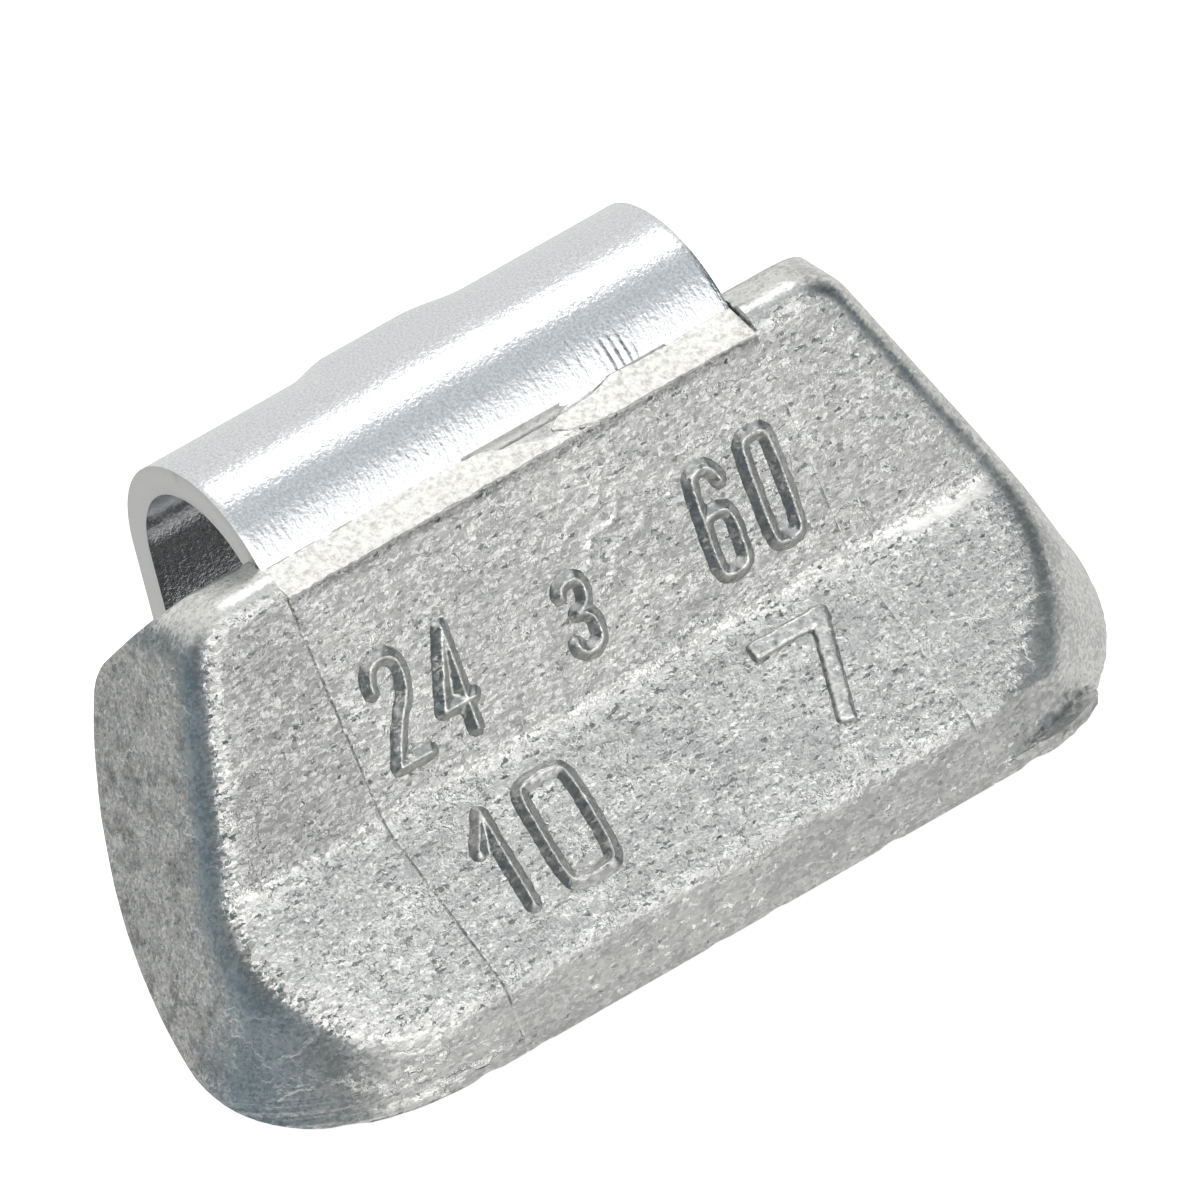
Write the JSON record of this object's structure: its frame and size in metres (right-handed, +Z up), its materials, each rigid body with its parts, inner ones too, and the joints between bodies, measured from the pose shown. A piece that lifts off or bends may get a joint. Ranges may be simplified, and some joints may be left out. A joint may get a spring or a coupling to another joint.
{
  "type": "clip-on wheel balance weight",
  "caption": "Clip-on wheel balance weight: a zinc casting with a concave marked front and a rounded rim seat, held on a rim edge by a bent spring steel strip.",
  "frame": {"origin": "on the axis of the clip's bend, half way along the clip", "axes": "+X along the rim edge, +Y from the casting towards the free leg of the clip, +Z up through the crown of the clip, away from the wheel's centre"},
  "size_m": [0.028, 0.0137, 0.0138],
  "materials": {
    "zinc": null,
    "spring_steel": "rolled spring steel strip, plated bright silver, with fine draw lines"
  },
  "bodies": {
    "root": {"zinc_body": "zinc", "spring_clip": "spring_steel"}
  },
  "joints": []
}
